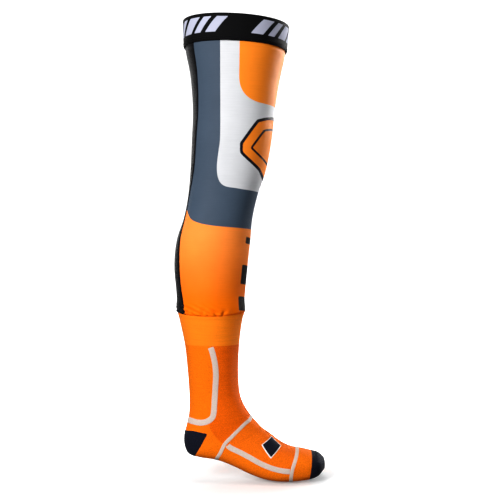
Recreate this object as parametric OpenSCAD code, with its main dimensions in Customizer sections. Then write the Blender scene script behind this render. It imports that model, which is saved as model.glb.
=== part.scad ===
// Knee-brace sock for the right leg: a thigh-high stretch sleeve on an elastic band,
// gathered into the cuff of a cushioned knitted sock.
// +Z is up, +X points to the toes and -Y is the outer side of the leg. Millimetres.
// The origin is the middle of the thigh opening, where the leg enters.

/* [Leg] */
// Height of the thigh opening above the ankle joint
leg_height = 700; // [660:5:740]
// Front-to-back depth of the thigh opening
thigh_depth = 187; // [178:1:196]
// Length of the foot from heel to toe tip
foot_length = 254; // [236:1:272]

/* [Fabric] */
// Height of the elastic thigh band
band_height = 46; // [40:1:50]
// Thickness of the elastic thigh band
band_wall = 2; // [1.4:0.1:2.6]
// Thickness of the printed sleeve fabric
sleeve_wall = 1.2; // [0.8:0.1:1.6]
// Thickness of the knitted sock
knit_wall = 2.4; // [1.8:0.1:2.6]
// Thickness of the terry cushions inside the sock
cushion_wall = 1.6; // [1:0.1:2]

/* [Trim] */
// Width of the flat seams between the sleeve's panels
seam_width = 5; // [3:0.5:7]
// Width of the broad knitted stripes
broad_stripe = 10; // [6:0.5:12]
// Width of the narrow knitted stripes
narrow_stripe = 6.5; // [4:0.5:8]
// Height that seams and stripes stand above the fabric
trim_raise = 0.5; // [0.3:0.1:0.8]

/* [Detail] */
// Facets round the whole leg
around = 28; // [20:4:36]

/* [Hidden] */

black = "#17171a";
slate = "#465261";
print_orange = "#f78228";
knit_orange = "#f87a16";
cuff_orange = "#fa872d";
stripe_white = "#e1d2c8";
navy = "#191b26";
silicone = "#c8ccd0";
thread = "#2a2a2e";

// Stations down the leg, then fanning round the ankle and along the foot to the toes.
// Each row: [front x, front z, rear x, rear z, half width, centre y, front and rear squareness].
// On the foot, front is the instep and rear is the sole. A squareness of 2 is an ellipse.
OUTLINE = [
    [ 93.5,   -5,  -93.5,    5, 80,   0, 2.1,  2.1],  //  0 thigh opening
    [   89,  -50,  -91.5,  -42, 78,   0, 2.1,  2.1],  //  1 foot of the elastic band
    [   79,  -98,    -82,  -93, 75,   0, 2.1,  2.1],  //  2
    [   70, -153,  -77.5, -153, 70,   0, 2.1,  2.1],  //  3
    [   63, -213,    -80, -213, 66,   0, 2.1,  2.1],  //  4
    [   53, -265,    -82, -265, 61,   0, 2.1,  2.1],  //  5
    [ 38.5, -308,    -86, -308, 57,   0, 2.2,  2.1],  //  6 kneecap
    [ 29.5, -347,    -94, -347, 55,   0, 2.1,  2.0],  //  7
    [   26, -387, -106.5, -387, 56,   1, 1.9,  2.0],  //  8
    [   21, -432,   -111, -432, 57,   2, 1.9,  2.0],  //  9 fullest calf
    [ 16.5, -477,   -108, -477, 55,   2, 1.9,  2.0],  // 10
    [ 13.5, -517,   -104, -517, 52,   1, 1.9,  2.0],  // 11 top of the sock's cuff
    [    9, -545,    -98, -545, 49,   0, 1.9,  2.0],  // 12
    [  5.5, -578,  -91.5, -578, 45,   0, 2.0,  2.0],  // 13 foot of the cuff
    [    4, -621,    -87, -621, 40,   0, 2.0,  2.0],  // 14
    [  6.5, -661,    -84, -662, 36,   0, 2.0,  2.0],  // 15 thinnest above the ankle
    [   14, -683,    -84, -694, 36,   0, 2.0,  2.0],  // 16 ankle bones
    [   24, -699,    -88, -716, 36,   0, 2.0,  2.1],  // 17
    [   31, -708,    -93, -738, 35,   0, 2.0,  2.3],  // 18 back of the heel
    [   37, -714,  -91.5, -757, 34,   0, 2.0,  2.5],  // 19
    [   42, -720,  -83.5, -770, 34,   0, 2.0,  2.7],  // 20
    [ 48.5, -726,    -63, -776, 34,   0, 1.9,  2.8],  // 21 front of the heel
    [   57, -732,    -36, -780, 36,   1, 1.9,  2.9],  // 22
    [   66, -739,     -8, -790, 39,   2, 1.9,  3.0],  // 23
    [   77, -748,     22, -804, 43,   3, 2.0,  3.0],  // 24
    [   90, -756,     50, -814, 46,   4, 2.0,  3.0],  // 25 ball of the foot
    [  105, -762,     78, -818, 48,   5, 2.1,  3.0],  // 26
    [  121, -765,    106, -818, 46,   6, 2.2,  2.9],  // 27
    [  136, -769,    130, -816, 43,   8, 2.2,  2.7],  // 28 dark toe
    [149.5, -773,    147, -811, 37,  10, 2.2,  2.5],  // 29
    [157.5, -780,    157, -801, 26,  11, 2.1,  2.2]   // 30 toe tip
];
OPENING_DEPTH = 187;
ANKLE = [-42, -700];
FOOT_LENGTH = 254;
TIP = 30;
// How far the toe bulges past its last station
TIP_ROUND = 3;

// Stations where one piece ends and the next begins
BAND_END = band_height / 46;
PANEL_TOP = BAND_END - 0.17;
KNEE_TOP = 3.85;
KNEE_END = 8.35;
CUFF_TOP = 10.95;
HEM_END = 11.55;
CUFF_END = 12.87;
ANKLE_TOP = 15.2;
HEEL_TOP = 17.5;
HEEL_END = 20.7;
BALL_TOP = 24.6;
TOES_TOP = 26.9;
TOE_TOP = 28;
// Clearance between neighbouring pieces: in stations, in degrees and in millimetres
GAP = 0.01;
GAP_ANGLE = 0.3;
CLEAR = 0.15;
// Extra room for what lies inside a curved wall, whose flat facets cut the corners
INSIDE = 1.7;
// Gap under seams and stripes, which clears the corners of the facets below them
TRIM_LIFT = 0.5;
// How far the sleeve's top edge is drawn in under the band
TUCK = 0.8;
// Thickness of the stitching on the band and inside the hem
BAND_THREAD = 0.4;
HEM_THREAD = 0.6;

// Half-angles of the black back panel at each station, measured from the middle of the back
BACK_HALF = [39, 38, 36, 34.5, 32.5, 29, 22, 20.5, 28, 34.5, 36, 44, 46];

// Half-angle of the heel cup at stations from its top to its front edge, from the middle of the back
HEEL_HALF = [[HEEL_TOP, 38], [17.8, 60], [18.1, 72], [18.8, 65], [19.4, 58], [20, 46], [20.5, 28],
    [HEEL_END, 12]];
function heel_half(t) = lookup(t, HEEL_HALF);

// One station with its sizes scaled to the driving dimensions
function scaled(s) =
    let(
        leg_k = leg_height / -ANKLE[1],
        depth_k = thigh_depth / OPENING_DEPTH,
        foot_k = foot_length / FOOT_LENGTH,
        below = s[1] < ANKLE[1] + 30,
        x = function(v) below ? ANKLE[0] + (v - ANKLE[0]) * foot_k : v * depth_k,
        z = function(v) v > ANKLE[1] ? v * leg_k : -leg_height + (v - ANKLE[1]) * foot_k
    )
    [x(s[0]), z(s[1]), x(s[2]), z(s[3]), s[4] * (below ? foot_k : depth_k), s[5], s[6], s[7]];
STATIONS = [for (s = OUTLINE) scaled(s)];

// Smooth curve through the rows of a table, at any parameter between them
function pick(table, i) = table[min(max(i, 0), len(table) - 1)];
function smooth(table, t) =
    let(
        i = min(floor(t), len(table) - 2),
        u = t - i,
        a = pick(table, i - 1),
        b = pick(table, i),
        c = pick(table, i + 1),
        d = pick(table, i + 2)
    )
    (2 * b + (c - a) * u + (2 * a - 5 * b + 4 * c - d) * u * u + (3 * b - a - 3 * c + d) * u * u * u) / 2;

// Point of the leg's surface at station t and angle phi, d outside it. Phi is 0 at the front,
// 90 on the outer side, 180 at the back and 270 on the inner side.
function skin(t, phi, d) =
    let(
        s = smooth(STATIONS, t),
        front = [s[0], s[1]],
        rear = [s[2], s[3]],
        middle = (front + rear) / 2,
        half = norm(front - rear) / 2,
        way = (front - rear) / (2 * half),
        c = cos(phi),
        p = c >= 0 ? s[6] : s[7],
        swell = pow(pow(abs(c), p) + pow(abs(sin(phi)), p), -1 / p),
        run = (half + d) * swell * c
    )
    [middle[0] + run * way[0], s[5] - (s[4] + d) * swell * sin(phi), middle[1] + run * way[1]];

// Outward direction of the surface there
function outward(t, phi) =
    let(
        down = skin(t + 0.05, phi, 0) - skin(t - 0.05, phi, 0),
        round = skin(t, phi + 1, 0) - skin(t, phi - 1, 0),
        n = cross(round, down)
    )
    n / norm(n);

// Faces of a wall whose outer and inner grids have n rows of m points; closed joins the last column
// to the first
function quad(a, b, c, d) = [[a, b, c], [a, c, d]];
function wall_faces(n, m, closed) =
    let(
        N = n * m,
        last = closed ? m - 1 : m - 2,
        next = function(j) (j + 1) % m
    )
    [
        for (i = [0:n - 2]) for (j = [0:last]) for (f = quad(
            i * m + j, (i + 1) * m + j, (i + 1) * m + next(j), i * m + next(j))) f,
        for (i = [0:n - 2]) for (j = [0:last]) for (f = quad(
            N + i * m + j, N + i * m + next(j), N + (i + 1) * m + next(j), N + (i + 1) * m + j)) f,
        for (j = [0:last]) for (f = quad(j, next(j), N + next(j), N + j)) f,
        if (!closed) for (i = [0:n - 2]) for (f = quad(
            (i + 1) * m, i * m, N + i * m, N + (i + 1) * m)) f,
        if (!closed) for (i = [0:n - 2]) for (f = quad(
            i * m + m - 1, (i + 1) * m + m - 1, N + (i + 1) * m + m - 1, N + i * m + m - 1)) f
    ];
function foot_rim(n, m, closed) =
    let(N = n * m, base = (n - 1) * m, last = closed ? m - 1 : m - 2)
    [for (j = [0:last]) for (f = quad(
        base + (j + 1) % m, base + j, N + base + j, N + base + (j + 1) % m)) f];

// Rows of stations from one end of a piece to the other, with an outer offset at each
function rows(from, to, steps, d = 0) = [for (i = [0:steps]) [from + (to - from) * i / steps, d]];

// A closed tube of fabric: rows are [station, offset of the outer face]
module tube(rows, wall, cols = around) {
    points = [for (inset = [0, wall]) for (r = rows) for (j = [0:cols - 1])
        skin(r[0], 360 * j / cols, r[1] - inset)];
    polyhedron(points, concat(wall_faces(len(rows), cols, true), foot_rim(len(rows), cols, true)));
}

// A panel of fabric between the angles from(t) and to(t)
module panel(rows, wall, cols, from, to) {
    points = [for (inset = [0, wall]) for (r = rows) for (j = [0:cols])
        skin(r[0], from(r[0]) + (to(r[0]) - from(r[0])) * j / cols, r[1] - inset)];
    polyhedron(points, concat(wall_faces(len(rows), cols + 1, false),
        foot_rim(len(rows), cols + 1, false)));
}

// A flat ribbon laid on the surface along a route of [station, angle] points
module ribbon(route, width, raise = trim_raise, lift = TRIM_LIFT) {
    n = len(route);
    places = [for (r = route) skin(r[0], r[1], 0)];
    sections = [
        for (i = [0:n - 1])
            let(
                along = places[min(i + 1, n - 1)] - places[max(i - 1, 0)],
                up = outward(route[i][0], route[i][1]),
                side = cross(up, along) / norm(cross(up, along)) * width / 2,
                base = places[i] + up * lift,
                top = base + up * raise
            )
            [base - side, base + side, top + side, top - side]
    ];
    points = [for (s = sections) each s];
    sides = [for (i = [0:n - 2]) for (j = [0:3]) for (f = quad(
        i * 4 + j, (i + 1) * 4 + j, (i + 1) * 4 + (j + 1) % 4, i * 4 + (j + 1) % 4)) f];
    ends = concat(quad(0, 1, 2, 3), quad(n * 4 - 1, n * 4 - 2, n * 4 - 3, n * 4 - 4));
    polyhedron(points, concat(sides, ends));
}

// Routes with more points than the corners they are given, along the same smooth curve
function fine(route, steps) =
    [for (i = [0:steps]) smooth(route, (len(route) - 1) * i / steps)];
function mirrored(route) = [for (r = route) [r[0], -r[1]]];
function back_half(t) = smooth([for (a = BACK_HALF) [a, 0]], t)[0];

// Thigh band, its grip and its label
module thigh_band() {
    color(black) tube(rows(0, BAND_END, 4, CLEAR + band_wall), band_wall);
}
module grip_strip(number) {
    strip_height = 0.1;
    strip_wall = 0.7;
    spacing = 0.24;
    top = 0.12 + spacing * (number - 1);
    color(silicone) tube(rows(top, top + strip_height, 1, -CLEAR), strip_wall);
}
module band_join() {
    // The band's two ends overlap at the back, under a bar of zigzag stitching
    join_angle = 188;
    join_width = 9;
    color(thread) ribbon([for (t = [0.06, BAND_END / 2, BAND_END - 0.16]) [t, join_angle]],
        join_width, lift = 2 * CLEAR + band_wall);
}
module band_stitching() {
    outer = band_wall + 2 * CLEAR + BAND_THREAD;
    color(thread) tube(rows(BAND_END - 0.12, BAND_END - 0.05, 1, outer), BAND_THREAD);
}
module size_label() {
    label_half = 9;
    label_wall = 0.3;
    top = PANEL_TOP + 0.02;
    color("white") panel(rows(top, top + 0.53, 2, -sleeve_wall - TUCK - INSIDE), label_wall, 3,
        function(t) 180 - label_half, function(t) 180 + label_half);
}

// Sleeve: a printed front panel and a black back panel, joined by flat seams
// The thigh's part of each panel tucks up under the elastic band.
function panel_rows(top, foot) =
    top < BAND_END
        ? concat(rows(top, BAND_END + 0.02, 1, -TUCK), rows(BAND_END + 0.12, foot, 6))
        : rows(top, foot, top < KNEE_END ? 9 : 6);
module front_panel(top, foot) {
    color(top < 3 ? slate : print_orange) panel(panel_rows(top, foot), sleeve_wall, 22,
        function(t) back_half(t) - 180 + GAP_ANGLE, function(t) 180 - back_half(t) - GAP_ANGLE);
}
module back_panel(top, foot) {
    color(black) panel(panel_rows(top, foot), sleeve_wall, 5,
        function(t) 180 - back_half(t) + GAP_ANGLE, function(t) 180 + back_half(t) - GAP_ANGLE);
}
module seam(top, foot, side) {
    route = [for (r = rows(top, foot, 8)) [r[0], side * (180 - back_half(r[0]))]];
    color(thread) ribbon(route, seam_width);
}

// The sleeve's foot turns in and is gathered and sewn to the cuff
module sleeve_hem() {
    color(print_orange) tube([[CUFF_TOP + GAP, -0.3], [CUFF_TOP + 0.12, -knit_wall - CLEAR],
        [HEM_END, -knit_wall - CLEAR]], sleeve_wall);
}
module hem_stitching() {
    inside = -knit_wall - 2 * CLEAR - sleeve_wall;
    color(knit_orange) tube(rows(HEM_END - 0.12, HEM_END - 0.02, 1, inside), HEM_THREAD);
}

// Knitted sock
module sock_cuff() {
    color(cuff_orange) tube(rows(CUFF_TOP + 0.15, CUFF_END - GAP, 4), knit_wall);
}
module sock_leg() {
    color(knit_orange) tube(rows(CUFF_END, ANKLE_TOP - GAP, 4), knit_wall);
}
module sock_ankle() {
    color(knit_orange) tube(rows(ANKLE_TOP + GAP, HEEL_TOP - GAP, 7), knit_wall);
}
module sock_heel() {
    color(navy) panel(rows(HEEL_TOP + GAP, HEEL_END - GAP, 8), knit_wall, 8,
        function(t) 180 - heel_half(t) + GAP_ANGLE, function(t) 180 + heel_half(t) - GAP_ANGLE);
}
module sock_instep() {
    color(knit_orange) panel(rows(HEEL_TOP + GAP, HEEL_END - GAP, 8), knit_wall, 26,
        function(t) heel_half(t) - 180 + GAP_ANGLE, function(t) 180 - heel_half(t) - GAP_ANGLE);
}
module sock_arch() {
    color(knit_orange) tube(rows(HEEL_END + GAP, BALL_TOP - GAP, 8), knit_wall);
}
module sock_ball() {
    color(knit_orange) tube(rows(BALL_TOP + GAP, TOES_TOP - GAP, 4), knit_wall);
}
module toe_band() {
    color(knit_orange) tube(rows(TOES_TOP + GAP, TOE_TOP - GAP, 2), knit_wall);
}
module sock_toe() {
    // A rounded cap: the rings shrink to a point at the tip, outside and inside
    cols = around;
    rings = rows(TOE_TOP + GAP, TIP, 5);
    n = len(rings);
    outer_tip = (skin(TIP, 90, 0) + skin(TIP, 270, 0)) / 2 + [TIP_ROUND, 0, 0];
    points = concat(
        [for (inset = [0, knit_wall]) for (r = rings) for (j = [0:cols - 1])
            skin(r[0], 360 * j / cols, r[1] - inset)],
        [outer_tip, outer_tip - [knit_wall, 0, 0]]
    );
    N = n * cols;
    base = (n - 1) * cols;
    tip_faces = [for (j = [0:cols - 1]) each [
        [base + (j + 1) % cols, base + j, 2 * N],
        [N + base + j, N + base + (j + 1) % cols, 2 * N + 1]
    ]];
    color(navy) polyhedron(points, concat(wall_faces(n, cols, true), tip_faces));
}

// Terry cushions inside the sock
module cushion(from, to, half, steps = 5, cols = 6) {
    color(knit_orange) panel(rows(from, to, steps, -knit_wall - INSIDE), cushion_wall, cols,
        function(t) 180 - half, function(t) 180 + half);
}

// Knitted stripes. The leg's stripe runs down beside the ankle, then hooks back over the heel.
// The instep's stripe is given as stations at angles from the front.
LEG_ROUTE = [[CUFF_END + 0.02, 92], [13.6, 84], [14.5, 84.5], [ANKLE_TOP - 0.02, 89]];
HOOK_ROUTE = [[ANKLE_TOP + 0.02, 89], [16, 97], [16.7, 105], [17.05, 119], [16.85, 137],
    [16.65, 160], [16.6, 180]];
INSTEP_AT = [[0, 17.5], [18, 17.7], [42, 18.2], [60, 18.9], [75, 19.6], [90, 20.2], [104, 20.8],
    [120, 21.4], [150, 22], [168, 22.1]];
SIDE_ROUTE = [[20.78, 95], [22.8, 107], [24.2, 104], [BALL_TOP - 0.03, 103]];
BALL_ROUTE = [[BALL_TOP + 0.03, 103], [25.6, 100.5], [26.3, 99]];
function other_half(route) = [for (i = [len(route) - 2:-1:0]) [route[i][0], 360 - route[i][1]]];

module stripe(route) {
    color(stripe_white) ribbon(fine(route, 8), broad_stripe);
}
module ankle_stripe() {
    color(stripe_white) ribbon(fine(concat(HOOK_ROUTE, other_half(HOOK_ROUTE)), 40), broad_stripe);
}
module instep_stripe() {
    // Crosses the instep and runs back and down on both sides to the front of the heel
    color(stripe_white) ribbon([for (a = [-168:8:168]) [lookup(abs(a), INSTEP_AT), a]], narrow_stripe);
}
module toe_stripe() {
    color(stripe_white) ribbon([for (a = [-180:12:168]) [27.1 + abs(a) / 600, a]], narrow_stripe);
}
module toe_seam() {
    // The linked seam that closes the toe runs across it from side to side
    linked_width = 2.5;
    color(navy) ribbon([for (a = [-100:20:100]) [28.6, a]], linked_width);
}
module foot_badge() {
    // A plain patch on the outer side of the instep
    badge_width = 22;
    color(navy) ribbon([[23.1, 42], [23.6, 41], [24.1, 40]], badge_width);
}

thigh_band();
grip_strip(1);  // grip_strip_1
grip_strip(2);  // grip_strip_2
grip_strip(3);  // grip_strip_3
band_join();
band_stitching();
size_label();
front_panel(PANEL_TOP, KNEE_TOP - GAP);  // thigh_front_panel
back_panel(PANEL_TOP, KNEE_TOP - GAP);  // thigh_back_panel
seam(BAND_END + 0.03, KNEE_TOP - GAP, 1);  // thigh_outer_seam
seam(BAND_END + 0.03, KNEE_TOP - GAP, -1);  // thigh_inner_seam
front_panel(KNEE_TOP + GAP, KNEE_END - GAP);  // knee_front_panel
back_panel(KNEE_TOP + GAP, KNEE_END - GAP);  // knee_back_panel
seam(KNEE_TOP + GAP, KNEE_END - GAP, 1);  // knee_outer_seam
seam(KNEE_TOP + GAP, KNEE_END - GAP, -1);  // knee_inner_seam
front_panel(KNEE_END + GAP, CUFF_TOP);  // calf_front_panel
back_panel(KNEE_END + GAP, CUFF_TOP);  // calf_back_panel
seam(KNEE_END + GAP, CUFF_TOP, 1);  // calf_outer_seam
seam(KNEE_END + GAP, CUFF_TOP, -1);  // calf_inner_seam
sleeve_hem();
hem_stitching();
sock_cuff();
sock_leg();
stripe(LEG_ROUTE);  // leg_outer_stripe
stripe(mirrored(LEG_ROUTE));  // leg_inner_stripe
sock_ankle();
ankle_stripe();
cushion(13.3, 15.1, 35);  // achilles_cushion
sock_heel();
sock_instep();
sock_arch();
instep_stripe();
stripe(SIDE_ROUTE);  // foot_outer_stripe
stripe(mirrored(SIDE_ROUTE));  // foot_inner_stripe
cushion(18, 20.3, 38);  // heel_cushion
cushion(20.8, 24.5, 50);  // sole_cushion
foot_badge();
sock_ball();
stripe(BALL_ROUTE);  // ball_outer_stripe
stripe(mirrored(BALL_ROUTE));  // ball_inner_stripe
toe_band();
toe_stripe();
sock_toe();
toe_seam();
cushion(27, 29, 60, 3);  // toe_cushion
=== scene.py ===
import math

import bpy
import numpy as np
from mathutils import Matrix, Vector


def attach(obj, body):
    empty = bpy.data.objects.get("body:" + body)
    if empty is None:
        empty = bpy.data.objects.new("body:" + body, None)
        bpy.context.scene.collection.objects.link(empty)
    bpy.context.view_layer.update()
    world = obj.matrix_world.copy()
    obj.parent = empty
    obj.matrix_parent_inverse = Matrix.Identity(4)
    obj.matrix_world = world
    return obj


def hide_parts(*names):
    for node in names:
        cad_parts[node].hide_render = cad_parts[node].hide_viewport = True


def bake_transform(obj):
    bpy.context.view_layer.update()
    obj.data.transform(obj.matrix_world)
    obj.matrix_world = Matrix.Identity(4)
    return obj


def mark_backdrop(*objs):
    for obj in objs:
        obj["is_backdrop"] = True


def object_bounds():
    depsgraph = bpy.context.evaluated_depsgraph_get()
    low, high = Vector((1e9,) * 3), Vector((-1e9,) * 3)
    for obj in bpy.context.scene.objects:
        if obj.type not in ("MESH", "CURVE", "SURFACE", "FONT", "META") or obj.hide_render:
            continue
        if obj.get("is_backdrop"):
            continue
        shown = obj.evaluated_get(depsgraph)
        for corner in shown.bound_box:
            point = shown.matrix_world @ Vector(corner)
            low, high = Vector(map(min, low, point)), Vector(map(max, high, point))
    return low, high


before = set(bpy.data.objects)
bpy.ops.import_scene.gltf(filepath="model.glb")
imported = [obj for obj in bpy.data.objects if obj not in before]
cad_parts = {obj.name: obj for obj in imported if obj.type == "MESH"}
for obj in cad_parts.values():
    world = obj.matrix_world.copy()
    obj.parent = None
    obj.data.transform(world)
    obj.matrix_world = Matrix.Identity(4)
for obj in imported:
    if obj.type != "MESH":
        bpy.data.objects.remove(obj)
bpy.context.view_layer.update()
random = np.random.default_rng(11)
MM = 0.001

# ---------------- the leg's surface
# Stations down the leg, round the ankle and along the foot, as in the CAD source, in millimetres:
# front x, front z, rear x, rear z, half width, centre y, front and rear squareness.
OUTLINE = np.array([
    [93.5, -5, -93.5, 5, 80, 0, 2.1, 2.1],
    [89, -50, -91.5, -42, 78, 0, 2.1, 2.1],
    [79, -98, -82, -93, 75, 0, 2.1, 2.1],
    [70, -153, -77.5, -153, 70, 0, 2.1, 2.1],
    [63, -213, -80, -213, 66, 0, 2.1, 2.1],
    [53, -265, -82, -265, 61, 0, 2.1, 2.1],
    [38.5, -308, -86, -308, 57, 0, 2.2, 2.1],
    [29.5, -347, -94, -347, 55, 0, 2.1, 2.0],
    [26, -387, -106.5, -387, 56, 1, 1.9, 2.0],
    [21, -432, -111, -432, 57, 2, 1.9, 2.0],
    [16.5, -477, -108, -477, 55, 2, 1.9, 2.0],
    [13.5, -517, -104, -517, 52, 1, 1.9, 2.0],
    [9, -545, -98, -545, 49, 0, 1.9, 2.0],
    [5.5, -578, -91.5, -578, 45, 0, 2.0, 2.0],
    [4, -621, -87, -621, 40, 0, 2.0, 2.0],
    [6.5, -661, -84, -662, 36, 0, 2.0, 2.0],
    [14, -683, -84, -694, 36, 0, 2.0, 2.0],
    [24, -699, -88, -716, 36, 0, 2.0, 2.1],
    [31, -708, -93, -738, 35, 0, 2.0, 2.3],
    [37, -714, -91.5, -757, 34, 0, 2.0, 2.5],
    [42, -720, -83.5, -770, 34, 0, 2.0, 2.7],
    [48.5, -726, -63, -776, 34, 0, 1.9, 2.8],
    [57, -732, -36, -780, 36, 1, 1.9, 2.9],
    [66, -739, -8, -790, 39, 2, 1.9, 3.0],
    [77, -748, 22, -804, 43, 3, 2.0, 3.0],
    [90, -756, 50, -814, 46, 4, 2.0, 3.0],
    [105, -762, 78, -818, 48, 5, 2.1, 3.0],
    [121, -765, 106, -818, 46, 6, 2.2, 2.9],
    [136, -769, 130, -816, 43, 8, 2.2, 2.7],
    [149.5, -773, 147, -811, 37, 10, 2.2, 2.5],
    [157.5, -780, 157, -801, 26, 11, 2.1, 2.2],
])
OUTLINE[:, :6] *= MM
# Half-angles of the black back panel, from the middle of the back, at stations 0 to 12
BACK_HALF = [39, 38, 36, 34.5, 32.5, 29, 22, 20.5, 28, 34.5, 36, 44, 46]
SEWN, HEM_END, CUFF_END, FOREFOOT, TOE_TOP, TIP = 10.97, 11.55, 12.87, 22.6, 28, 30
SLEEVE_WALL, KNIT_WALL, BAND_WALL = 1.2 * MM, 2.4 * MM, 2 * MM
CLEAR = 0.15 * MM


def smooth(table, t):
    """Smooth curve through the rows of a table, at the parameters t."""
    table, t = np.asarray(table, float), np.asarray(t, float)
    last = len(table) - 1
    i = np.clip(np.floor(t).astype(int), 0, last - 1)
    u = (t - i)[(...,) + (None,) * (table.ndim - 1)]
    a, b, c, d = (table[np.clip(i + k, 0, last)] for k in (-1, 0, 1, 2))
    return (2 * b + (c - a) * u + (2 * a - 5 * b + 4 * c - d) * u**2 + (3 * b - a - 3 * c + d) * u**3) / 2


def skin(t, phi):
    """Points of the leg's surface. Phi is in degrees: 0 at the front, 90 on the outer side and 180 at the
    back."""
    t, phi = np.broadcast_arrays(np.asarray(t, float), np.asarray(phi, float))
    s = smooth(OUTLINE, t)
    middle = (s[..., 0:2] + s[..., 2:4]) / 2
    way = s[..., 0:2] - s[..., 2:4]
    half = np.linalg.norm(way, axis=-1) / 2
    way = way / (2 * half[..., None])
    c, q = np.cos(np.radians(phi)), np.sin(np.radians(phi))
    p = np.where(c >= 0, s[..., 6], s[..., 7])
    swell = (np.abs(c) ** p + np.abs(q) ** p) ** (-1 / p)
    run = half * swell * c
    x, z = (middle[..., k] + run * way[..., k] for k in (0, 1))
    return np.stack([x, s[..., 5] - s[..., 4] * swell * q, z], -1)


def unit(v):
    return v / np.linalg.norm(v, axis=-1, keepdims=True)


def frame_at(t, phi):
    """Unit directions there: round the leg, down it and outward."""
    around = skin(t, phi + 0.8) - skin(t, phi - 0.8)
    down = skin(t + 0.04, phi) - skin(t - 0.04, phi)
    return unit(around), unit(down), unit(np.cross(around, down))


def surface(t, phi, d=0.0, e=0.0):
    """Points d outside the leg's surface, moved e further down it."""
    t, phi, d, e = np.broadcast_arrays(*(np.asarray(x, float) for x in (t, phi, d, e)))
    _, down, out = frame_at(t, phi)
    return skin(t, phi) + out * d[..., None] + down * e[..., None]


FINE = np.linspace(-0.3, TIP + 0.3, 3000)
LINES = skin(FINE[:, None], np.array([0, 90, 180, 270])[None])
DOWN = np.concatenate([[0], np.cumsum(np.linalg.norm(np.diff(LINES, axis=0), axis=-1).mean(1))])


def down_at(t):
    """Metres down the leg to station t, as the mean of the front, sides and back."""
    return np.interp(t, FINE, DOWN)


def stations(start, end, step):
    """Stations from start to end, about step metres apart."""
    a, b = down_at(start), down_at(end)
    return np.interp(np.linspace(a, b, max(3, math.ceil((b - a) / step) + 1)), DOWN, FINE)


def rise(x, start, end):
    """0 before start and 1 after end, turning smoothly between them."""
    u = np.clip((x - start) / (end - start), 0, 1)
    return u * u * (3 - 2 * u)


def crease(angle):
    """A crease of the gathers: its angle, its share of the depth, its lean and its length in stations."""
    return (angle + random.uniform(-3.5, 3.5), random.uniform(0.3, 1.0), random.uniform(-22, 22),
            random.uniform(0.22, 0.6))


# The sleeve's foot is gathered into the cuff: creases that narrow downwards, under a slight overhang
CREASES = [crease(a) for a in np.arange(-180, 180, 13)]
OVERHANG, CREASE_DEPTH, RIDGE_HEIGHT = 2.3 * MM, 2.9 * MM, 1.3 * MM
SWAG_DEPTH, RIPPLE_DEPTH = 0.75 * MM, 0.25 * MM


def sewn(t, phi):
    """Stations of the fabric near the cuff's top edge, which hangs a little lower at the sides of the leg."""
    return t + 0.12 * np.sin(np.radians(phi)) ** 2 * rise(t, 10.2, 10.9) * (1 - rise(t, 11.6, 12.4))


def relief(t, phi):
    """How far the sleeve's fabric stands off the leg's smooth surface."""
    t, phi = np.broadcast_arrays(np.asarray(t, float), np.asarray(phi, float))
    off = OVERHANG * rise(t, 10.25, 10.9) * (1 - rise(t, 10.925, 11.05))
    for angle, depth, lean, length in CREASES:
        away = (phi - angle - lean * (SEWN - t) + 180) % 360 - 180
        width = 2.4 + 7 * np.clip(SEWN - t, 0, 1)
        fade = rise(t, SEWN - length, SEWN - 0.04)
        off = off - CREASE_DEPTH * depth * fade * np.exp(-((away / width) ** 2))
        off = off + RIDGE_HEIGHT * depth * fade * np.exp(-(((away - 1.9 * width) / (1.2 * width)) ** 2))
    # Swags slanting down to the front on both sides, and a faint ripple over the whole sleeve
    side = np.abs((phi + 180) % 360 - 180)
    swag = np.sin((side + 105 * (t - SEWN)) * 0.30 + 1.6 * np.sin(side * 0.07))
    off = off + SWAG_DEPTH * swag * rise(t, 10.38, 10.7) * (1 - rise(t, 10.9, 10.97)) * rise(side, 45, 80)
    ripple = np.sin(t * 2.1 + phi * 0.05)
    return off + RIPPLE_DEPTH * ripple * rise(t, 1.2, 2.5) * (1 - rise(t, 10, 10.6))


# ---------------- materials
def linear(*rgb):
    """A colour of 0 to 255 as scene-linear RGBA."""
    c = np.array(rgb, float) / 255
    return (*np.where(c <= 0.04045, c / 12.92, ((c + 0.055) / 1.055) ** 2.4), 1.0)


ORANGE_PRINT, SLATE, WHITE_PRINT = linear(248, 145, 52), linear(80, 93, 108), linear(209, 210, 213)
ORANGE_FADE_TOP, ORANGE_FADE_FOOT = linear(250, 149, 74), linear(240, 119, 16)
BLACK, INK = linear(26, 26, 28), linear(32, 36, 46)
# The vented zone is darker than the plain knit: partly its own knit, partly painted shade on the front of the
# leg
ORANGE_KNIT, VENT_KNIT_AND_SHADE, INSTEP = linear(246, 126, 28), linear(240, 112, 24), linear(240, 119, 30)
CUFF, STRIPE, NAVY = linear(250, 139, 40), linear(214, 197, 188), linear(30, 32, 44)
# Width and height of one stitch of the sleeve's jersey and of the sock's knit
JERSEY_STITCH, KNIT_STITCH = (1.1 * MM, 0.9 * MM), (1.6 * MM, 1.3 * MM)


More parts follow.
